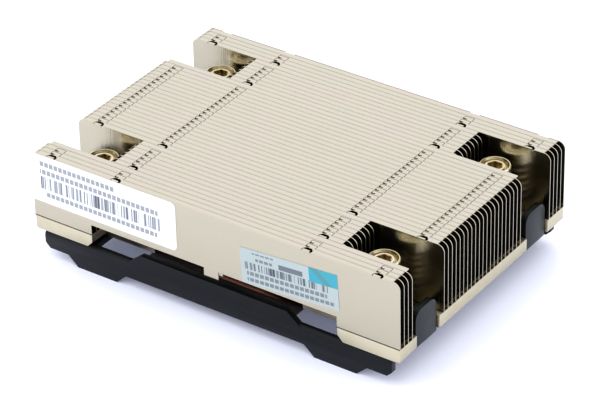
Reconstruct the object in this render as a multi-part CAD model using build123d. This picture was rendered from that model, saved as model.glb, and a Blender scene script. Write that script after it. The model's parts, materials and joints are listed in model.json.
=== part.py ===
from build123d import *
from math import atan2, degrees, pi
import os

# A passive heatsink for a low server. X runs along the fins, Y from front to back, Z up.
# The origin is on the surface under the bracket's feet, below the middle of the screw pattern.

# Fin stack: the fins that overlap a screw well are short, the others run the full length.
# One fin stands in the middle and gives the others their numbers; a deeper stack has more on both sides.
stack_depth = 84.15
middle_fin = 22
fin_pitch = 1.95
fin_gauge = 0.3
fin_overhang = 0.1
short_fin_setback = 6.8
fin_height = 21.05
fin_corner_radius = 2.2
foot_flange_inset = 1.0
flange_gap = 0.1

# Raised middle of the fins that stand over the base's front and back recesses
raised_height = 3.45
locating_tab_width = 4.9
locating_tab_height = 2.45

# Zipper lock: a window at the fold of each fin takes the tongue of the fin before it
outer_row_inset = 7.06
inner_row_inset = 8.37
window_width = 3.2
window_web = 0.4
window_drop = 0.05
tongue_clearance = 0.15
relief_width = 1.1
relief_depth = 0.25
relief_reach = 0.4
relief_offset = 0.8
end_notch_depth = 0.9

# A run's first fin has open arches in place of windows, with a lip left at the fold
arch_web = 0.3
arch_corner = 0.8
lip_width = 2.3
lip_reach = 0.64
lip_offset = 0.25

# Screws: the pattern is that of the socket below
screw_spacing_x = 94.0
screw_spacing_y = 56.0
head_drop = 4.6
head_diameter = 9.3
head_height = 3.5
head_edge = 0.25
rim_width = 0.35
dish_depth = 0.9
dish_slope = 0.45
collar_width = 0.5
collar_drop = 0.3
socket_diameter = 4.7
socket_core_diameter = 3.7
socket_depth = 2.6
shank_diameter = 4.0
shank_clearance = 0.3
thread_end_length = 2.8

# Retaining clip in the shank's groove, just below the bracket
groove_depth = 0.4
clip_thickness = 0.6
clip_side_clearance = 0.1
clip_bore_clearance = 0.08
clip_reach = 1.7
clip_mouth = 2.6
clip_drop = 0.12

# Coil spring between the bracket and the screw's head
wire_diameter = 0.9
spring_inset = 0.6
spring_turns = 7
spring_steps = 10
spring_end_clearance = 0.1

# Base plate
base_thickness = 4.25
base_overhang = 14.2
base_edge_radius = 0.6
recess_width = 82.4
recess_depth = 7.3
finger_chamfer = 1.8
end_notch_length = 6.2
tab_side_clearance = 0.5
spring_hole_clearance = 1.05

# Copper slab in the pocket under the base, with its contact pad
pocket_width = 50.0
pocket_height = 2.75
slab_clearance = 0.1
pad_length = 46.0
pad_width = 46.0
pad_height = 2.0
pad_edge = 0.5

# Bracket: one bent sheet
sheet_thickness = 1.8
bend_radius = 1.8
bracket_end_setback = 2.7
bracket_setback = 0.3
flange_height = 5.6
flange_corner = 1.6
bar_rise = 3.15
bar_run = 3.9
foot_inset = 18.2
foot_length = 13.6
foot_height = 3.1
foot_slope = 3.4
pad_side_clearance = 5.5
window_length = 13.0
window_depth = 11.0
tab_setback = 0.8
tab_width = 10.2
tab_height = 12.6
tab_corner_radius = 3.0
well_clearance = 0.25

# Labels on the front fin: width, height, thickness, and the smaller one's place and tilt
label_thickness = 0.1
large_label_length = 49.8
large_label_foot = 2.0
large_label_inset = 0.2
large_label_corner = 1.5
small_label_length = 31.7
small_label_height = 11.2
small_label_place = 26.1
small_label_drop = 10.9
small_label_tilt = 3.8

# Heights and places that follow from the sizes above
plate_top = foot_height + flange_height
plate_bottom = plate_top - sheet_thickness
base_bottom = plate_top
base_top = base_bottom + base_thickness
fin_top = base_top + fin_height
head_top = fin_top - head_drop
head_bottom = head_top - head_height
fins_beside = round((stack_depth - fin_gauge - fin_pitch) / (2 * fin_pitch))
fin_count = 2 * fins_beside + 1
full_depth = fin_count * fin_pitch + fin_gauge
front = -full_depth / 2
screw_x = screw_spacing_x / 2
screw_y = screw_spacing_y / 2
base_length = screw_spacing_x + 2 * base_overhang
fin_length = base_length + 2 * fin_overhang
short_fin_length = screw_spacing_x - 2 * short_fin_setback
recess_face = full_depth / 2 - recess_depth
bracket_half_depth = full_depth / 2 - bracket_setback
outer_row = fin_length / 2 - outer_row_inset
inner_row = short_fin_length / 2 - inner_row_inset
lock_rows = [-outer_row, -inner_row, inner_row, outer_row]
flange_reach = fin_pitch - flange_gap
window_reach = flange_reach - window_web
tongue_reach = window_reach - tongue_clearance
spring_diameter = head_diameter - 2 * spring_inset
screw_hole_diameter = spring_diameter + 2 * spring_hole_clearance
clip_diameter = shank_diameter + 2 * clip_reach
bracket_length = base_length - 2 * bracket_end_setback
tab_spacing = base_length - 2 * tab_setback
foot_spacing = bracket_length - 2 * foot_inset
opening_length = pad_length + 2 * pad_side_clearance
bar_length = opening_length - 2 * bar_run
window_end = opening_length + 2 * window_length
large_label_height = fin_height - raised_height - large_label_inset - large_label_foot


def block(x0, x1, y0, y1, z0, z1):
    """A box between two opposite corners, in either order."""
    return Pos((x0 + x1) / 2, (y0 + y1) / 2, (z0 + z1) / 2) * Box(abs(x1 - x0), abs(y1 - y0), abs(z1 - z0))


def upright(outline, y0, y1):
    """A solid from an upright outline, drawn flat as (x, z), between two depths."""
    return Pos(0, y1, 0) * extrude(Plane.XZ * outline, amount=y1 - y0)


def outline_of(points):
    """A face inside a closed line of points."""
    return make_face(Polyline(*points, close=True))


def flat(points, z0, z1):
    """A solid from an outline of (x, y) points, between two heights."""
    return Pos(0, 0, z0) * extrude(outline_of(points), amount=z1 - z0)


def four_ways(x, y):
    """The four corners of a pattern, front left first."""
    return [(side_x * x, side_y * y) for side_y in (-1, 1) for side_x in (-1, 1)]


# Fins

def plate_outline(length, raised):
    """The outline of a fin's plate: square feet, and over a recess the raised middle with its tab."""
    half = length / 2
    points = [(half, base_top), (half, fin_top), (-half, fin_top), (-half, base_top)]
    if raised:
        edge, tab = recess_width / 2, locating_tab_width / 2
        rise = base_top + raised_height
        points += [(-edge, base_top), (-edge, rise), (-tab, rise), (-tab, rise - locating_tab_height),
                   (tab, rise - locating_tab_height), (tab, rise), (edge, rise), (edge, base_top)]
    return points


def plate(length, raised, y0):
    """A fin's plate with its rounded top corners."""
    outline = outline_of(plate_outline(length, raised))
    outline = fillet(outline.vertices().group_by(Axis.Y)[-1], fin_corner_radius)
    return upright(outline, y0, y0 + fin_gauge)


def opening_points(row, arch):
    """A lock opening in the top flange, from its left foot to its right: a window, or an open arch."""
    left, right = row - window_width / 2, row + window_width / 2
    if not arch:
        return [(left, 0), (left, window_reach), (right, window_reach), (right, 0)]
    crown = flange_reach - arch_web
    shoulder = crown - arch_corner
    return [(left, 0), (left, shoulder), (left + arch_corner, crown), (right - arch_corner, crown),
            (right, shoulder), (right, 0)]


def top_flange(length, rows, windows, arches, tongues):
    """The top flange, folded back to the next fin, with its windows or arches and its tongues."""
    end = length / 2 - fin_corner_radius
    edge = flange_reach
    points = [(-end, 0)]
    if windows:
        for row in rows:
            points += opening_points(row, arches)
    points += [(end, 0), (end, edge)]
    if tongues:
        tip, relief = edge + flange_gap + tongue_reach, edge + relief_reach
        for row in reversed(rows):
            right = row + window_width / 2 - tongue_clearance
            left = row - window_width / 2 + tongue_clearance
            neck = row - relief_offset + relief_width / 2
            heel = neck - relief_width
            points += [(right, edge), (right, tip), (left, tip), (left, relief), (neck, relief),
                       (neck, edge - relief_depth), (heel, edge - relief_depth), (heel, edge)]
    points += [(-end, edge)]
    return flat(points, fin_top - fin_gauge, fin_top)


def bottom_flange(length, raised):
    """The bottom flanges, soldered to the base or, in the raised middle, hanging free."""
    end = length / 2 - foot_flange_inset
    edge = flange_reach
    if not raised:
        return block(-end, end, 0, edge, base_top, base_top + fin_gauge)
    middle, tab = recess_width / 2, locating_tab_width / 2
    rise = base_top + raised_height
    feet = [block(side * middle, side * end, 0, edge, base_top, base_top + fin_gauge) for side in (-1, 1)]
    spans = [block(side * tab, side * middle, 0, edge, rise, rise + fin_gauge) for side in (-1, 1)]
    return feet[0] + feet[1] + spans[0] + spans[1]


def make_fin(length, raised, windows, arches, tongues):
    """One folded fin, standing at y = 0."""
    reach = length / 2 - fin_corner_radius
    rows = [row for row in lock_rows if abs(row) + window_width < reach]
    body = plate(length, raised, 0)
    if windows:
        for row in rows:
            body -= block(row - window_width / 2, row + window_width / 2, -1, fin_pitch,
                          fin_top - fin_gauge - window_drop, fin_top + 1)
    body = body + top_flange(length, rows, windows, arches, tongues) + bottom_flange(length, raised)
    if arches:
        for row in rows:
            left, right = row - lip_offset - lip_width / 2, row - lip_offset + lip_width / 2
            body += block(left, right, 0, fin_gauge, fin_top - fin_gauge - window_drop, fin_top)
            body += block(left, right, 0, lip_reach, fin_top - fin_gauge, fin_top)
    return body


def is_short(plane):
    """A fin is short where its span in depth overlaps a screw well."""
    near, far = front + plane * fin_pitch, front + (plane + 1) * fin_pitch
    half_well = tab_width / 2 + tab_side_clearance + well_clearance
    return any(near < y + half_well and far > y - half_well for y in (-screw_y, screw_y))


def is_raised(plane):
    """A long fin's middle is raised where it stands over a recess of the base."""
    near, far = front + plane * fin_pitch, front + (plane + 1) * fin_pitch
    return not is_short(plane) and (near < -recess_face or far > recess_face)


def fin_groups():
    """The fins from front to back, in runs of one length."""
    runs = []
    for plane in range(fin_count):
        if runs and is_short(plane) == is_short(runs[-1][-1]):
            runs[-1].append(plane)
        else:
            runs.append([plane])
    return runs


def make_fins():
    """All the folded fins: a run's first has arches, its last no windows, and its last two no tongues."""
    patterns, fins = {}, {}
    for run in fin_groups():
        for plane in run:
            length = short_fin_length if is_short(plane) else fin_length
            left_in_run = run[-1] - plane
            kind = (length, is_raised(plane), left_in_run >= 1, plane == run[0], left_in_run >= 2)
            if kind not in patterns:
                patterns[kind] = make_fin(*kind)
            number = round(middle_fin) + plane - fins_beside
            fins[f"fin_{number:02d}"] = Pos(0, front + plane * fin_pitch, 0) * patterns[kind]
    return fins


def make_end_plate():
    """The plain plate behind the last fin, notched where the lock rows end."""
    y0 = front + fin_count * fin_pitch
    body = plate(fin_length, True, y0)
    for row in lock_rows:
        body -= block(row - window_width / 2, row + window_width / 2, y0 - 1, y0 + 1,
                      fin_top - end_notch_depth, fin_top + 1)
    return body


# Base

def make_base():
    """The base plate: recesses, end notches for the tabs, screw holes, and the copper's pocket."""
    half_x, half_y = base_length / 2, full_depth / 2
    plan = Rectangle(base_length, full_depth)
    plan -= [Pos(0, side * half_y) * Rectangle(recess_width, 2 * recess_depth) for side in (-1, 1)]
    notch = Rectangle(2 * end_notch_length, tab_width + 2 * tab_side_clearance)
    plan -= [Pos(x, y) * notch for x, y in four_ways(half_x, screw_y)]
    body = Pos(0, 0, base_bottom) * extrude(plan, amount=base_thickness)
    lower = body.edges().filter_by(Plane.XY).group_by(Axis.Z)[0]
    inner = [e for e in lower.filter_by(Axis.Y)
             if abs(abs(e.center().X) - recess_width / 2) < 0.01 and abs(e.center().Y) > recess_face]
    body = chamfer(inner, finger_chamfer)
    lower = body.edges().filter_by(Plane.XY).group_by(Axis.Z)[0]
    ends = [e for e in lower.filter_by(Axis.Y) if abs(abs(e.center().X) - half_x) < 0.01]
    body = fillet(ends, base_edge_radius)
    for x, y in four_ways(screw_x, screw_y):
        screw_hole = Cylinder(screw_hole_diameter / 2, 2 * base_thickness)
        body -= Pos(x, y, base_bottom + base_thickness / 2) * screw_hole
    return body - block(-pocket_width / 2, pocket_width / 2, -half_y, half_y, 0, base_bottom + pocket_height)


def make_copper():
    """The copper slab in the pocket, with its chamfered contact pad."""
    half = pocket_width / 2 - slab_clearance
    slab = block(-half, half, -recess_face, recess_face, base_bottom, base_bottom + pocket_height)
    pad = block(-pad_length / 2, pad_length / 2, -pad_width / 2, pad_width / 2,
                base_bottom - pad_height, base_bottom)
    pad = chamfer(pad.edges().filter_by(Plane.XY).group_by(Axis.Z)[0], pad_edge)
    return slab + pad


# Bracket

def flange_outline():
    """Half of a long flange's outline, from the middle of its raised bar to its outer end."""
    bar, end = bar_length / 2, bracket_length / 2
    foot, toe = foot_spacing / 2, foot_length / 2
    return [(bar, plate_top + bar_rise), (bar + bar_run, plate_top), (end, plate_top),
            (end, foot_height + flange_corner), (end - flange_corner, foot_height),
            (foot + toe + foot_slope, foot_height), (foot + toe, 0), (foot - toe, 0),
            (foot - toe - foot_slope, foot_height)]


def make_flange(side):
    """The front or back flange with its raised bar and two feet."""
    right = flange_outline()
    left = [(-x, z) for x, z in reversed(right)]
    faces = sorted((side * bracket_half_depth, side * (bracket_half_depth - sheet_thickness)))
    return upright(outline_of(right + left), *faces)


def bend_waste(length, radius):
    """What a bend takes off a square edge that runs along X at the origin, with the sheet at -Y and -Z."""
    square = block(-length / 2, length / 2, -radius, radius, -radius, radius)
    round_part = Pos(0, -radius, -radius) * Rot(0, 90, 0) * Cylinder(radius, 2 * length)
    return square - round_part


def make_side_plate(side):
    """One side of the frame: open to the middle and to the windows beside the raised bars."""
    inner, window = side * opening_length / 2, side * window_end / 2
    outer = side * bracket_length / 2
    reach = bracket_half_depth
    step = full_depth / 2 - window_depth
    return flat([(inner, -step), (window, -step), (window, -reach), (outer, -reach),
                 (outer, reach), (window, reach), (window, step), (inner, step)], plate_bottom, plate_top)


def make_tab(x, y):
    """An end tab: the sheet runs out past the plate's end and turns up, with a rounded top."""
    side = 1 if x > 0 else -1
    face, half = side * tab_spacing / 2, tab_width / 2
    strip = block(x, face, y - half, y + half, plate_bottom, plate_top)
    wall = block(face - side * sheet_thickness, face, y - half, y + half,
                 plate_bottom, plate_bottom + tab_height)
    wall = fillet(wall.edges().filter_by(Axis.X).group_by(Axis.Z)[-1], tab_corner_radius)
    tab_waste = bend_waste(tab_width + 1, bend_radius)
    bend = Pos(face, y, plate_bottom) * Rot(0, 0, 90 * side) * Rot(180, 0, 0) * tab_waste
    return strip + wall, bend


def make_bracket():
    """The whole frame, with its bends rounded and its screw holes through."""
    body = make_flange(-1) + make_flange(1) + make_side_plate(-1) + make_side_plate(1)
    bend_length = (bracket_length - opening_length) / 2
    for x, y in four_ways((bracket_length + opening_length) / 4, bracket_half_depth):
        turn = 0 if y > 0 else 180
        body -= Pos(x, y, plate_top) * Rot(0, 0, turn) * bend_waste(bend_length, bend_radius)
    for x, y in four_ways(screw_x, screw_y):
        tab, bend = make_tab(x, y)
        body = body + tab - bend
        body -= Pos(x, y, plate_top) * Cylinder(shank_diameter / 2 + shank_clearance, 4 * sheet_thickness)
    return body


# Screws, springs and clips

def make_screw():
    """A captive screw about the Z axis: a head dished round a lobed socket, a shank with a groove."""
    head, collar = head_diameter / 2, socket_diameter / 2 + collar_width
    shank, groove = shank_diameter / 2, shank_diameter / 2 - groove_depth
    rim = head - head_edge - rim_width
    groove_top = plate_bottom - clip_drop + clip_side_clearance
    groove_bottom = groove_top - clip_thickness - 2 * clip_side_clearance
    tip = plate_bottom - thread_end_length
    profile = [(0, tip), (shank, tip), (shank, groove_bottom), (groove, groove_bottom), (groove, groove_top),
               (shank, groove_top), (shank, head_bottom), (head, head_bottom), (head, head_top - head_edge),
               (head - head_edge, head_top), (rim, head_top), (rim - dish_slope, head_top - dish_depth),
               (collar, head_top - dish_depth), (collar, head_top - collar_drop), (0, head_top - collar_drop)]
    body = revolve(Plane.XZ * outline_of(profile), Axis.Z)
    radii = [socket_diameter / 2, socket_core_diameter / 2] * 6
    lobes = [Vector(radius, 0, 0).rotate(Axis.Z, 30 * turn) for turn, radius in enumerate(radii)]
    return body - Pos(0, 0, head_top - socket_depth) * extrude(outline_of(lobes), amount=socket_depth)


def make_spring():
    """A coil spring about the Z axis, between the bracket's plate and the screw's head."""
    wire, radius = wire_diameter / 2, (spring_diameter - wire_diameter) / 2
    low = plate_top + spring_end_clearance + wire
    high = head_bottom - spring_end_clearance - wire
    lean = degrees(atan2((high - low) / spring_turns, 2 * pi * radius))
    section = Pos(radius, 0, low) * Rot(lean - 90, 0, 0) * RegularPolygon(wire, 6)
    steps = round(spring_turns * spring_steps)
    rise, turn = (high - low) / steps, 360 * spring_turns / steps
    turned_sections = [Pos(0, 0, step * rise) * Rot(0, 0, step * turn) * section for step in range(steps + 1)]
    return loft(turned_sections, ruled=True)


def make_clip():
    """A retaining clip about the Z axis: a ring with a mouth, in the screw's groove."""
    top = plate_bottom - clip_drop
    bore = shank_diameter / 2 - groove_depth + clip_bore_clearance
    ring = Circle(clip_diameter / 2) - Circle(bore)
    ring -= Pos(clip_diameter / 2, 0) * Rectangle(clip_diameter, clip_mouth)
    return Pos(0, 0, top - clip_thickness) * extrude(ring, amount=clip_thickness)


# Labels

def make_labels():
    """The two stickers on the front fin."""
    x0 = -fin_length / 2 + large_label_inset
    large = block(x0, x0 + large_label_length, front - label_thickness, front,
                  fin_top - large_label_inset - large_label_height, fin_top - large_label_inset)
    large = fillet(large.edges().filter_by(Axis.Y).group_by(Axis.X)[-1], large_label_corner)
    small = block(-small_label_length / 2, small_label_length / 2, -label_thickness, 0,
                  -small_label_height / 2, small_label_height / 2)
    small = Pos(small_label_place, front, fin_top - small_label_drop) * Rot(0, -small_label_tilt, 0) * small
    return Compound(children=[large, small])


def build():
    """Every node, by name."""
    nodes = make_fins()
    nodes["end_plate"] = make_end_plate()
    nodes["base_plate"] = make_base()
    nodes["copper_base"] = make_copper()
    nodes["bracket"] = make_bracket()
    nodes["labels"] = make_labels()
    screw, spring, clip = make_screw(), make_spring(), make_clip()
    for number, (x, y) in enumerate(four_ways(screw_x, screw_y), start=1):
        nodes[f"captive_screw_{number}"] = Pos(x, y, 0) * screw
        nodes[f"screw_spring_{number}"] = Pos(x, y, 0) * spring
        nodes[f"retaining_clip_{number}"] = Pos(x, y, 0) * clip
    return nodes


os.makedirs("parts", exist_ok=True)
for name, shape in build().items():
    export_step(shape, f"parts/{name}.step")
    print(name, "volume", round(shape.volume, 2))
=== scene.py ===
import json
import math
import bpy
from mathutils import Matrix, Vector

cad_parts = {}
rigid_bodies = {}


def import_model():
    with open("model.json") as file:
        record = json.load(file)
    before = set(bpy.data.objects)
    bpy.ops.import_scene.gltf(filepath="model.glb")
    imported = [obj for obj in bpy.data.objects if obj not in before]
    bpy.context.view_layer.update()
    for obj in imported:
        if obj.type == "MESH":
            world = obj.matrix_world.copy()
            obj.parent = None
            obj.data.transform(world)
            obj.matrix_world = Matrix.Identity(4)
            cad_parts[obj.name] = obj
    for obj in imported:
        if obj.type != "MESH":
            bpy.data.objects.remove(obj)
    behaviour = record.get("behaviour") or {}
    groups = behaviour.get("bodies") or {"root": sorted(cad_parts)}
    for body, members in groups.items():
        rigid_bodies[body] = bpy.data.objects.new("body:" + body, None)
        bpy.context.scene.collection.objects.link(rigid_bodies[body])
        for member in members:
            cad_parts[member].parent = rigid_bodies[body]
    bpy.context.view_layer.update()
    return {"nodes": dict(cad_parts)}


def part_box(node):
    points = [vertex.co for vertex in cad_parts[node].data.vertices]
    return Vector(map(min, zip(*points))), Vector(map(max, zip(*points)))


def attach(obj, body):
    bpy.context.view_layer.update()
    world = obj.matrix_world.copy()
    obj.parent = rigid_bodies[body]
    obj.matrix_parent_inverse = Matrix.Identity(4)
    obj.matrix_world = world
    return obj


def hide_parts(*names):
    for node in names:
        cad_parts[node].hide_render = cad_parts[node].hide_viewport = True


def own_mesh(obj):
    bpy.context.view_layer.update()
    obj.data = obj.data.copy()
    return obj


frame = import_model()
print("frame loaded:", len(frame["nodes"]), "nodes")

scene = bpy.context.scene
scene.view_settings.view_transform = "Standard"
scene.view_settings.look = "High Contrast"

nearness = {"corner": 2e-6, "coilCorner": 1e-6, "edge": 1e-5}  # metres
flatDegrees = 0.5  # faces that turn by less than this are one face
creases = {"sheet": 31, "turned": 35, "wire": 60}  # degrees: an edge that turns by more stays crisp


def deselectAll():
    if bpy.context.object and bpy.context.object.mode != "OBJECT":
        bpy.ops.object.mode_set(mode="OBJECT")
    bpy.ops.object.select_all(action="DESELECT")


def makeActive(piece):
    deselectAll()
    piece.select_set(True)
    bpy.context.view_layer.objects.active = piece


def bodyOf(nodeName):
    return frame["nodes"][nodeName].parent.name.replace("body:", "")


def applyPlace(piece):  # the object goes to the origin, its place into its mesh
    makeActive(piece)
    bpy.ops.object.transform_apply(location=True, rotation=True, scale=True)


def applyModifiers(piece):
    makeActive(piece)
    for modifier in list(piece.modifiers):
        bpy.ops.object.modifier_apply(modifier=modifier.name)


def mergedCopy(nodeName, pieceName):  # a CAD node's own form, with its corners joined
    makeActive(frame["nodes"][nodeName])
    bpy.ops.object.duplicate()
    piece = bpy.context.object
    piece.name = pieceName
    bpy.ops.object.parent_clear(type="CLEAR_KEEP_TRANSFORM")
    bpy.ops.object.mode_set(mode="EDIT")
    bpy.ops.mesh.select_all(action="SELECT")
    bpy.ops.mesh.remove_doubles(threshold=nearness["corner"])
    bpy.ops.mesh.dissolve_limited(angle_limit=math.radians(flatDegrees))
    bpy.ops.object.mode_set(mode="OBJECT")
    bpy.ops.mesh.customdata_custom_splitnormals_clear()
    return piece


def softenEdges(piece, width, segments, sharperThan):
    bevel = piece.modifiers.new("edges", "BEVEL")
    bevel.width = width
    bevel.segments = segments
    bevel.limit_method = "ANGLE"
    bevel.angle_limit = math.radians(sharperThan)
    applyModifiers(piece)


def near(value, target):
    return abs(value - target) < nearness["edge"]


def roundFold(piece, across, heights, radius, segments):  # the long edges at y = across, z in heights
    points = piece.data.vertices
    makeActive(piece)
    bpy.ops.object.mode_set(mode="EDIT")
    bpy.ops.mesh.select_mode(type="EDGE")
    bpy.ops.mesh.select_all(action="DESELECT")
    bpy.ops.object.mode_set(mode="OBJECT")
    for edge in piece.data.edges:
        first, second = (points[index].co for index in edge.vertices)
        level = any(near(first.z, height) and near(second.z, height) for height in heights)
        edge.select = level and near(first.y, across) and near(second.y, across)
    bpy.ops.object.mode_set(mode="EDIT")
    bpy.ops.mesh.bevel(offset=radius, offset_type="OFFSET", segments=segments, clamp_overlap=True)
    bpy.ops.object.mode_set(mode="OBJECT")


def smoothBelow(piece, degrees):
    makeActive(piece)
    bpy.ops.object.shade_smooth_by_angle(angle=math.radians(degrees))


def dress(piece, nodeName, material):  # the piece stands for the node and rides with it
    piece.data.materials.clear()
    piece.data.materials.append(material)
    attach(piece, bodyOf(nodeName))
    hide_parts(nodeName)


class Wire:
    def __init__(self, paint, socket):
        self.paint = paint
        self.socket = socket

    def maths(self, operation, other=0.0, swapped=False):
        pair = (other, self) if swapped else (self, other)
        return self.paint.node("ShaderNodeMath", {"operation": operation}, {0: pair[0], 1: pair[1]})

    def __add__(self, other):
        return self.maths("ADD", other)

    def __radd__(self, other):
        return self.maths("ADD", other, True)

    def __sub__(self, other):
        return self.maths("SUBTRACT", other)

    def __rsub__(self, other):
        return self.maths("SUBTRACT", other, True)

    def __mul__(self, other):
        return self.maths("MULTIPLY", other)

    def __truediv__(self, other):
        return self.maths("DIVIDE", other)

    def __lt__(self, other):
        return self.maths("LESS_THAN", other)

    def __gt__(self, other):
        return self.maths("GREATER_THAN", other)

    def __abs__(self):
        return self.maths("ABSOLUTE")


class Paint:
    def __init__(self, name):
        self.material = bpy.data.materials.new(name)
        self.material.use_nodes = True
        self.tree = self.material.node_tree
        self.tree.nodes.clear()

    def node(self, kind, settings=None, sockets=None, output=0):
        made = self.tree.nodes.new(kind)
        for name, value in (settings or {}).items():
            if name == "stops":  # a ramp's stops: place and colour
                ramp = made.color_ramp
                ramp.elements[0].position, ramp.elements[0].color = value[0]
                ramp.elements[1].position, ramp.elements[1].color = value[-1]
                for place, colour in value[1:-1]:
                    ramp.elements.new(place).color = colour
            else:
                setattr(made, name, value)
        for key, value in (sockets or {}).items():
            if isinstance(value, Wire):
                self.tree.links.new(value.socket, made.inputs[key])
            else:
                made.inputs[key].default_value = value
        return Wire(self, made.outputs[output])

    def place(self):  # object coordinates in millimetres, as a vector
        raw = self.node("ShaderNodeTexCoord", output="Object")
        return self.node("ShaderNodeVectorMath", {"operation": "SCALE"}, {0: raw, "Scale": 1000.0})

    def axes(self, vector):
        split = self.node("ShaderNodeSeparateXYZ", sockets={0: vector})
        outputs = split.socket.node.outputs
        return [Wire(self, outputs[name]) for name in ("X", "Y", "Z")]

    def stretched(self, vector, scale):  # a vector whose axes are scaled apart
        return self.node("ShaderNodeVectorMath", {"operation": "MULTIPLY"}, {0: vector, 1: scale})

    def noise(self, vector, scale, detail):
        return self.node("ShaderNodeTexNoise", {}, {
            "Vector": vector, "Scale": scale, "Detail": detail, "Roughness": 0.55})

    def chance(self, number):  # one chance value between 0 and 1 for each whole number
        return self.node("ShaderNodeTexWhiteNoise", {"noise_dimensions": "1D"}, {"W": number})

    def facing(self):  # the surface's own direction, as three values
        return self.axes(self.node("ShaderNodeTexCoord", output="Normal"))

    def blend(self, factor, first, second):
        return self.node("ShaderNodeMix", {"data_type": "RGBA"}, {0: factor, 6: first, 7: second}, output=2)

    def ramp(self, factor, stops):
        return self.node("ShaderNodeValToRGB", {"stops": stops}, {0: factor})

    def bump(self, height, strength, distance):
        return self.node("ShaderNodeBump", {}, {"Height": height, "Strength": strength, "Distance": distance})

    def finish(self, sockets):
        shader = self.node("ShaderNodeBsdfPrincipled", {}, sockets)
        target = self.tree.nodes.new("ShaderNodeOutputMaterial")
        self.tree.links.new(shader.socket, target.inputs["Surface"])
        return self.material


# In the finishes places are in millimetres. A noise has its scale and detail, a relief its strength and depth.

finFinish = {
    "light": (0.605, 0.57, 0.49, 1), "warm": (0.605, 0.56, 0.495, 1), "cool": (0.59, 0.565, 0.485, 1),
    # the face colour is painted shade on the plates' upright faces, darker and warmer than the tops
    "face": (0.522, 0.485, 0.375, 1), "cut": (0.58, 0.55, 0.47, 1), "speck": (0.42, 0.38, 0.31, 1),
    # the near-black colour is painted shade in the crease at the fins' feet; the shade colour is painted shade
    # along the folds of the tops
    "seam": (0.05, 0.04, 0.03, 1), "shade": (0.44, 0.40, 0.34, 1),
    "pitch": 1.95, "front": -42.125, "foot": 13.3, "facing": 0.8, "cutFrom": 0.35, "cutRise": 2.5,
    "clouds": (0.05, 2.0), "rolled": (2.2, 4.0), "drawn": (2.6, 3.0), "specks": (3.5, 2.0),
    "rolledStretch": (0.03, 1.1, 1.1), "drawnStretch": (1.0, 0.03, 0.03), "speckFrom": 0.74,
    "ownTint": 0.10, "faceShare": 0.85, "speckShare": 0.2, "jointShare": 0.3, "seamShare": 0.9,
    "roughness": 0.15, "grain": 0.06, "ownRough": 0.03, "wallRough": 0.08, "cutRough": 0.2,
    "rolledRelief": 0.10, "relief": (0.35, 0.00010)}


def platedFins():
    f = finFinish
    paint = Paint("platedFins")
    place = paint.place()
    y, z = paint.axes(place)[1:]
    nx, ny, nz = paint.facing()
    wall = abs(ny) > f["facing"]
    cut = ((abs(nx) - f["cutFrom"]) * f["cutRise"]).maths("MINIMUM", 1.0).maths("MAXIMUM", 0.0)
    step = (y - f["front"]) / f["pitch"]  # counts the fins from the front
    own = paint.chance(step.maths("FLOOR")) - 0.5
    clouds = paint.noise(place, *f["clouds"])
    rolled = paint.noise(paint.stretched(place, f["rolledStretch"]), *f["rolled"])
    drawn = paint.noise(paint.stretched(place, f["drawnStretch"]), *f["drawn"])
    specks = paint.noise(place, *f["specks"]) > f["speckFrom"]
    tint = paint.ramp(clouds + own * f["ownTint"], [(0.40, f["cool"]), (0.5, f["light"]), (0.60, f["warm"])])
    # painted shade: the plates' upright faces are darker and warmer than the tops
    plate = paint.blend(wall * f["faceShare"], tint, f["face"])
    # painted shade: the tops darken toward each fin's fold, in the shade colour
    paintedFoldShade = (abs(step.maths("FRACT") - 0.5) * 2.0).maths("POWER", 3.0) * (nz > f["facing"])
    sheet = paint.blend(paintedFoldShade * f["jointShare"], paint.blend(specks * f["speckShare"], plate, f["speck"]),
                        f["shade"])
    seam = (z < f["foot"]) * wall * f["seamShare"]  # painted shade: the dark line in the crease where the fins stand on the base
    colour = paint.blend(seam, paint.blend(cut, sheet, f["cut"]), f["seam"])
    rough = (f["roughness"] + (rolled - 0.5) * f["grain"] + own * f["ownRough"] + wall * f["wallRough"]
             + cut * f["cutRough"])
    normal = paint.bump(rolled * f["rolledRelief"] + drawn * wall, *f["relief"])
    return paint.finish({"Base Color": colour, "Metallic": 1.0, "Roughness": rough, "Normal": normal})


baseFinish = {
    "colour": (0.59, 0.545, 0.415, 1), "stain": (0.52, 0.47, 0.34, 1), "stainFrom": 0.45, "stainRise": 1.4,
    "mottle": (0.22, 4.0), "milled": (2.0, 3.0), "milledStretch": (0.05, 1.0, 2.5),
    "roughness": 0.36, "mottleRough": 0.25, "milledRough": 0.12, "relief": (0.25, 0.00006)}


def platedBase():
    f = baseFinish
    paint = Paint("platedBase")
    place = paint.place()
    mottle = paint.noise(place, *f["mottle"])
    milled = paint.noise(paint.stretched(place, f["milledStretch"]), *f["milled"])
    colour = paint.blend((mottle - f["stainFrom"]) * f["stainRise"], f["colour"], f["stain"])
    rough = f["roughness"] + (mottle - 0.5) * f["mottleRough"] + (milled - 0.5) * f["milledRough"]
    return paint.finish({"Base Color": colour, "Metallic": 1.0, "Roughness": rough,
                         "Normal": paint.bump(milled + mottle, *f["relief"])})


copperFinish = {
    # the dark colour is painted shade toward the copper's ends, around a middle that keeps its tarnished
    # colour
    "bright": (0.50, 0.23, 0.14, 1), "dull": (0.24, 0.105, 0.065, 1), "dark": (0.05, 0.022, 0.016, 1),
    "middle": 5.5, "clean": 5.0, "fade": 8.0, "dullFrom": 0.35, "dullRise": 1.6,
    "tarnish": (0.12, 4.0), "lines": (2.0, 2.0), "lineStretch": (3.0, 0.06, 0.06),
    "roughness": 0.33, "lineRough": 0.2, "relief": (0.3, 0.00004)}


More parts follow.
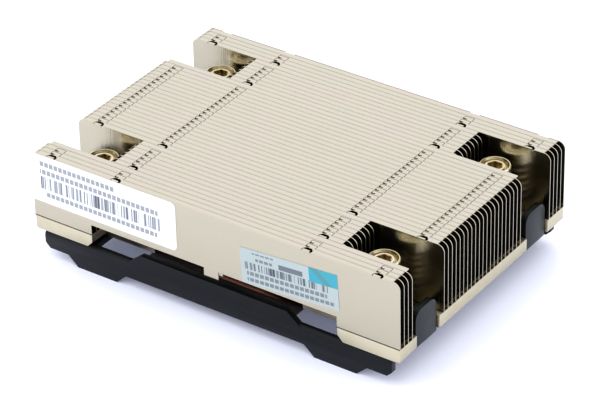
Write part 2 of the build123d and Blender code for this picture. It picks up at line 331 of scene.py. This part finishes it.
def milledCopper():
    f = copperFinish
    paint = Paint("milledCopper")
    place = paint.place()
    x = paint.axes(place)[0]
    tarnish = paint.noise(place, *f["tarnish"])
    lines = paint.noise(paint.stretched(place, f["lineStretch"]), *f["lines"])
    clean = paint.blend((tarnish - f["dullFrom"]) * f["dullRise"], f["bright"], f["dull"])
    paintedEndShade = (abs(x - f["middle"]) - f["clean"]) / f["fade"]  # painted shade of the fins: darker toward both ends
    return paint.finish({"Base Color": paint.blend(paintedEndShade, clean, f["dark"]), "Metallic": 1.0,
                         "Roughness": f["roughness"] + (lines - 0.5) * f["lineRough"],
                         "Normal": paint.bump(lines, *f["relief"])})


bracketFinish = {
    # the third colour is painted light on the faces turned along x
    "coat": (0.006, 0.008, 0.010, 1), "worn": (0.08, 0.09, 0.10, 1), "satin": (0.036, 0.041, 0.043, 1),
    "facing": 0.9, "peel": (2.4, 2.0), "broad": (0.09, 3.0), "dust": (5.0, 1.0), "dustFrom": 0.73,
    "dustShare": 0.5, "broadShare": 0.2, "roughness": 0.42, "broadRough": 0.3, "relief": (0.18, 0.00006)}


def blackCoat():
    f = bracketFinish
    paint = Paint("blackCoat")
    place = paint.place()
    peel = paint.noise(place, *f["peel"])
    broad = paint.noise(place, *f["broad"]) - 0.5
    dust = paint.noise(place, *f["dust"]) > f["dustFrom"]
    nx = paint.facing()[0]
    coat = paint.blend(abs(nx) > f["facing"], f["coat"], f["satin"])  # painted light: faces turned along x, the tabs' broad faces among them, are paler
    colour = paint.blend(dust * f["dustShare"] + broad * f["broadShare"], coat, f["worn"])
    return paint.finish({"Base Color": colour, "Roughness": f["roughness"] + broad * f["broadRough"],
                         "Specular IOR Level": 0.35, "Coat Weight": 0.08, "Coat Roughness": 0.3,
                         "Normal": paint.bump(peel, *f["relief"])})


screwFinish = {
    "plate": (0.80, 0.76, 0.65, 1), "olive": (0.56, 0.50, 0.36, 1), "dark": (0.43, 0.37, 0.25, 1),
    "across": 47.0, "along": 28.0, "rim": 5.0,
    "zones": [(0.30, "olive"), (0.455, "dark"), (0.48, "plate"), (0.57, "plate"), (0.62, "dark"),
              (0.80, "dark"), (0.86, "plate")],  # shares of the rim's radius; the olive and dark rings are painted reflection of the dark wells around the heads
    "rings": 6.0, "haze": (0.35, 2.0), "hazeFrom": 0.4, "hazeShare": 0.8,
    "roughness": 0.16, "ringRough": 0.12, "relief": (0.5, 0.00005)}


def turnedSteel():
    f = screwFinish
    paint = Paint("turnedSteel")
    place = paint.place()
    x, y, z = paint.axes(place)
    dx, dy = abs(x) - f["across"], abs(y) - f["along"]  # from the nearest screw's axis
    radius = (dx * dx + dy * dy).maths("SQRT")
    around = paint.node("ShaderNodeCombineXYZ", {}, {"X": radius, "Y": z})
    rings = paint.node("ShaderNodeTexNoise", {"noise_dimensions": "2D"}, {
        "Vector": around, "Scale": f["rings"], "Detail": 2.0})
    haze = paint.noise(place, *f["haze"])
    # painted reflection: rings of olive and dark across the head, by radius
    zones = paint.ramp(radius / f["rim"], [(share, f[tone]) for share, tone in f["zones"]])
    colour = paint.blend((haze - f["hazeFrom"]) * f["hazeShare"], zones, f["olive"])
    return paint.finish({"Base Color": colour, "Metallic": 1.0,
                         "Roughness": f["roughness"] + (rings - 0.5) * f["ringRough"],
                         "Normal": paint.bump(rings, *f["relief"])})


wireFinish = {
    "bright": (0.62, 0.58, 0.50, 1), "drawn": (0.36, 0.33, 0.28, 1), "streak": (1.6, 4.0),
    "roughness": 0.3, "streakRough": 0.2, "relief": (0.15, 0.00004)}


def drawnWire():
    f = wireFinish
    paint = Paint("drawnWire")
    streak = paint.noise(paint.place(), *f["streak"])
    return paint.finish({"Base Color": paint.blend(streak, f["bright"], f["drawn"]), "Metallic": 1.0,
                         "Roughness": f["roughness"] + (streak - 0.5) * f["streakRough"],
                         "Normal": paint.bump(streak, *f["relief"])})


clipFinish = {
    "dark": (0.10, 0.10, 0.11, 1), "rubbed": (0.42, 0.42, 0.42, 1), "wear": (0.9, 4.0), "wearFrom": 0.4,
    "wearRise": 1.5, "roughness": 0.35, "wearRough": 0.3, "relief": (0.2, 0.00004)}


def oiledSteel():
    f = clipFinish
    paint = Paint("oiledSteel")
    wear = paint.noise(paint.place(), *f["wear"])
    colour = paint.blend((wear - f["wearFrom"]) * f["wearRise"], f["dark"], f["rubbed"])
    return paint.finish({"Base Color": colour, "Metallic": 1.0,
                         "Roughness": f["roughness"] + (wear - 0.5) * f["wearRough"],
                         "Normal": paint.bump(wear, *f["relief"])})


# A row or a stripe field has its top, bottom, start and stop from the label's top left corner, and a seed.
labelFinish = {
    "paper": (0.76, 0.78, 0.80, 1), "ink": (0.05, 0.06, 0.09, 1), "pale": (0.43, 0.49, 0.485, 1),
    "field": (0.06, 0.36, 0.44, 1), "wedge": (0.13, 0.24, 0.23, 1), "split": -5.0,
    "blocks": {"count": 0.61, "space": 0.22, "share": 0.6}, "stripes": {"count": 3.1, "space": 0.35},
    "large": {
        "left": -61.4, "top": 33.8, "stripes": (6.9, 10.9, 3.2, 44.8, 5.0),
        "rows": [(2.0, 3.5, 3.0, 29.0, 0.3), (4.6, 6.1, 3.0, 44.0, 0.9), (11.8, 13.2, 4.5, 43.5, 0.2)]},
    "small": {
        "across": 26.1, "middle": 23.1, "tilt": 3.8, "half": (15.85, 5.6),
        "stripes": (4.2, 6.5, 1.3, 28.6, 44.0),
        "rows": [(0.9, 1.4, 4.0, 11.0, 0.1), (2.5, 3.4, 5.0, 10.5, 0.4), (7.1, 8.3, 1.8, 28.0, 0.5),
                 (9.1, 10.2, 1.8, 30.0, 0.6)],
        "box": (2.2, 3.8, 12.6, 20.4), "boxShare": 0.7, "field": (0.0, 4.4, 22.5, 31.7),
        "wedge": (22.8, 25.2), "wedgeSlope": 1.1, "wedgeShare": 0.6},
    "shade": (0.5, 2.0), "roughness": 0.42, "shadeRough": 0.1, "relief": (0.05, 0.00005)}


def printedFilm():
    f = labelFinish
    paint = Paint("printedFilm")
    place = paint.place()
    x, z = paint.axes(place)[0::2]

    def within(value, low, high):
        return (value > low) * (value < high)

    def oblong(u, v, top, bottom, start, stop):
        return within(v, top, bottom) * within(u, start, stop)

    def blocks(u, v, top, bottom, start, stop, seed):  # a row of plain grey blocks with small spaces between
        space = (u * f["blocks"]["count"] + seed).maths("FRACT") > f["blocks"]["space"]
        return oblong(u, v, top, bottom, start, stop) * space * f["blocks"]["share"]

    def stripes(u, v, top, bottom, start, stop, seed):  # upright stripes of uneven width
        tone = paint.chance((u * f["stripes"]["count"] + seed).maths("FLOOR"))
        return oblong(u, v, top, bottom, start, stop) * (tone > f["stripes"]["space"]) * tone

    def marks(u, v, label):
        inked = stripes(u, v, *label["stripes"])
        for row in label["rows"]:
            inked = inked + blocks(u, v, *row)
        return inked

    large, small = f["large"], f["small"]
    onSmall = x > f["split"]
    largeInk = marks(x - large["left"], large["top"] - z, large)
    turn = math.radians(small["tilt"])
    a, b = x - small["across"], z - small["middle"]
    u = a * math.cos(turn) + b * math.sin(turn) + small["half"][0]
    v = small["half"][1] - (b * math.cos(turn) - a * math.sin(turn))
    smallInk = marks(u, v, small) + oblong(u, v, *small["box"]) * small["boxShare"]
    wedge = within(u - v * small["wedgeSlope"], *small["wedge"]) * small["wedgeShare"]
    corner = paint.blend(wedge, f["field"], f["wedge"])
    paper = paint.blend(onSmall, f["paper"], f["pale"])
    inked = paint.blend(largeInk * (1 - onSmall) + smallInk * onSmall, paper, f["ink"])
    colour = paint.blend(oblong(u, v, *small["field"]) * onSmall, inked, corner)
    shade = paint.noise(place, *f["shade"])
    return paint.finish({"Base Color": colour, "Roughness": f["roughness"] + (shade - 0.5) * f["shadeRough"],
                         "Coat Weight": 0.2, "Coat Roughness": 0.3,
                         "Normal": paint.bump(shade, *f["relief"])})


materials = {
    "fins": platedFins(), "base_plate": platedBase(), "copper_base": milledCopper(), "bracket": blackCoat(),
    "screws": turnedSteel(), "springs": drawnWire(), "clips": oiledSteel(), "labels": printedFilm()}
print("materials made")


foldShape = {"heights": (0.034, 0.01295, 0.0164), "radius": 0.00025, "segments": 3}  # top and bottom folds


def makeFin(nodeName):
    piece = mergedCopy(nodeName, nodeName.replace("_", "Plate"))
    if nodeName != "end_plate":  # the end plate has no folds
        roundFold(piece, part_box(nodeName)[0].y, **foldShape)
    smoothBelow(piece, creases["sheet"])
    dress(piece, nodeName, materials["fins"])


for nodeName in sorted(frame["nodes"]):
    if nodeName.startswith("fin_") or nodeName == "end_plate":
        makeFin(nodeName)
print("fins made")


softEdges = {  # width, segments, and the degrees above which an edge is softened
    "base_plate": (0.00022, 2, 40), "copper_base": (0.00020, 2, 40), "bracket": (0.00030, 2, 25)}

for nodeName, (width, segments, limit) in softEdges.items():
    piece = mergedCopy(nodeName, nodeName.replace("_plate", "Plate").replace("_base", "Slab"))
    softenEdges(piece, width, segments, limit)
    smoothBelow(piece, creases["sheet"])
    dress(piece, nodeName, materials[nodeName])
print("base, copper and bracket made")


springShape = {
    "wire": 0.0009, "outer": 0.0081, "turns": 7, "low": 0.0088, "high": 0.0258, "steps": 32, "sides": 12,
    "squashed": 0.765}


def makeSpring(number):
    s = springShape
    nodeName = f"screw_spring_{number}"
    low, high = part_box(nodeName)
    middle = (low + high) / 2
    radius = (s["outer"] - s["wire"]) / 2
    rise = (s["high"] - s["low"] - s["wire"]) / s["turns"]
    deselectAll()
    bpy.ops.mesh.primitive_circle_add(vertices=s["sides"], radius=s["wire"] / 2, fill_type="NOTHING",
                                      location=(radius, 0, 0), rotation=(math.pi / 2, 0, 0))
    spring = bpy.context.object
    spring.name = f"coilSpring{number}"
    applyPlace(spring)
    coil = spring.modifiers.new("coil", "SCREW")
    coil.axis = "Z"
    coil.angle = 2 * math.pi
    coil.screw_offset = rise
    coil.iterations = s["turns"]
    coil.steps = coil.render_steps = s["steps"]
    coil.use_merge_vertices = False
    applyModifiers(spring)
    bpy.ops.object.mode_set(mode="EDIT")
    bpy.ops.mesh.select_all(action="SELECT")
    bpy.ops.mesh.remove_doubles(threshold=nearness["coilCorner"])
    bpy.ops.mesh.select_all(action="DESELECT")
    bpy.ops.mesh.select_mode(type="EDGE")
    bpy.ops.mesh.select_non_manifold()
    bpy.ops.mesh.edge_face_add()
    bpy.ops.mesh.select_all(action="SELECT")
    bpy.ops.mesh.normals_make_consistent(inside=False)
    bpy.ops.object.mode_set(mode="OBJECT")
    spring.location = (middle.x, middle.y, s["low"] + s["wire"] / 2)
    applyPlace(spring)
    smoothBelow(spring, creases["wire"])
    dress(spring, nodeName, materials["springs"])
    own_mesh(spring)


for number in (1, 2, 3, 4):
    screw = mergedCopy(f"captive_screw_{number}", f"turnedScrew{number}")
    smoothBelow(screw, creases["turned"])
    dress(screw, f"captive_screw_{number}", materials["screws"])
    clip = mergedCopy(f"retaining_clip_{number}", f"groovedClip{number}")
    smoothBelow(clip, creases["turned"])
    dress(clip, f"retaining_clip_{number}", materials["clips"])
    makeSpring(number)
print("screws, clips and springs made")


labels = mergedCopy("labels", "frontLabels")
dress(labels, "labels", materials["labels"])
print("labels made")


floorLook = {
    "size": 3.0, "colour": (0.90, 0.91, 0.97, 1), "grain": (0.88, 0.89, 0.96, 1), "cloud": (0.01, 2.0),
    "glow": (0.64, 0.71, 1.0, 1), "strength": 0.14, "roughness": 0.6,
    # dim and unlit are the painted shadow under the pad
    "dim": (0.35, 0.35, 0.37, 1), "unlit": (0, 0, 0, 1), "middle": -8.0, "halfWidth": 26.0, "halfDepth": 34.0}

deselectAll()
bpy.ops.mesh.primitive_plane_add(size=floorLook["size"], location=(0, 0, 0))
floor = bpy.context.object
floor.name = "paleFloor"
floorPaint = Paint("paleFloor")
floorPlace = floorPaint.place()
floorX, floorY = floorPaint.axes(floorPlace)[:2]
paintedPadShadow = ((abs(floorX - floorLook["middle"]) < floorLook["halfWidth"])
            * (abs(floorY) < floorLook["halfDepth"]))  # painted shadow: the floor is dim and without glow under the pad
floorGrain = floorPaint.noise(floorPlace, *floorLook["cloud"])
floorTone = floorPaint.blend(floorGrain, floorLook["colour"], floorLook["grain"])
floor.data.materials.append(floorPaint.finish({
    "Base Color": floorPaint.blend(paintedPadShadow, floorTone, floorLook["dim"]),
    "Roughness": floorLook["roughness"],
    "Emission Color": floorPaint.blend(paintedPadShadow, floorLook["glow"], floorLook["unlit"]),
    "Emission Strength": floorLook["strength"]}))

studioLook = {"Color": (0.98, 0.98, 1.0, 1), "Strength": 0.95}
world = bpy.data.worlds.new("studio")
world.use_nodes = True
for socketName, value in studioLook.items():
    world.node_tree.nodes["Background"].inputs[socketName].default_value = value
scene.world = world

softLights = [  # name, place, size, power
    ("overheadSoftbox", (-0.5, -0.5, 0.9), 0.9, 1.0),
    ("frontSoftbox", (-0.35, -0.8, 0.55), 0.7, 0.5),
    ("rightFill", (0.9, 0.1, 0.5), 0.6, 0.4)]
lightAim = Vector((0, 0, 0.02))

for name, place, size, power in softLights:
    deselectAll()
    bpy.ops.object.light_add(type="AREA", location=place)
    lamp = bpy.context.object
    lamp.name = name
    lamp.data.size = size
    lamp.data.energy = power
    lamp.rotation_euler = (lightAim - Vector(place)).to_track_quat("-Z", "Y").to_euler()

cameraPlace = {
    "location": (0.43562, -0.61268, 0.49350), "degrees": (57.5764, 1.1375, 34.6718),
    "lens": 190.23, "sensor": 36.0, "near": 0.01}
deselectAll()
bpy.ops.object.camera_add(location=cameraPlace["location"],
                          rotation=[math.radians(angle) for angle in cameraPlace["degrees"]])
camera = bpy.context.object
camera.name = "productCamera"
camera.data.lens = cameraPlace["lens"]
camera.data.sensor_width = cameraPlace["sensor"]
camera.data.clip_start = cameraPlace["near"]
scene.camera = camera
print("floor, light and camera made")
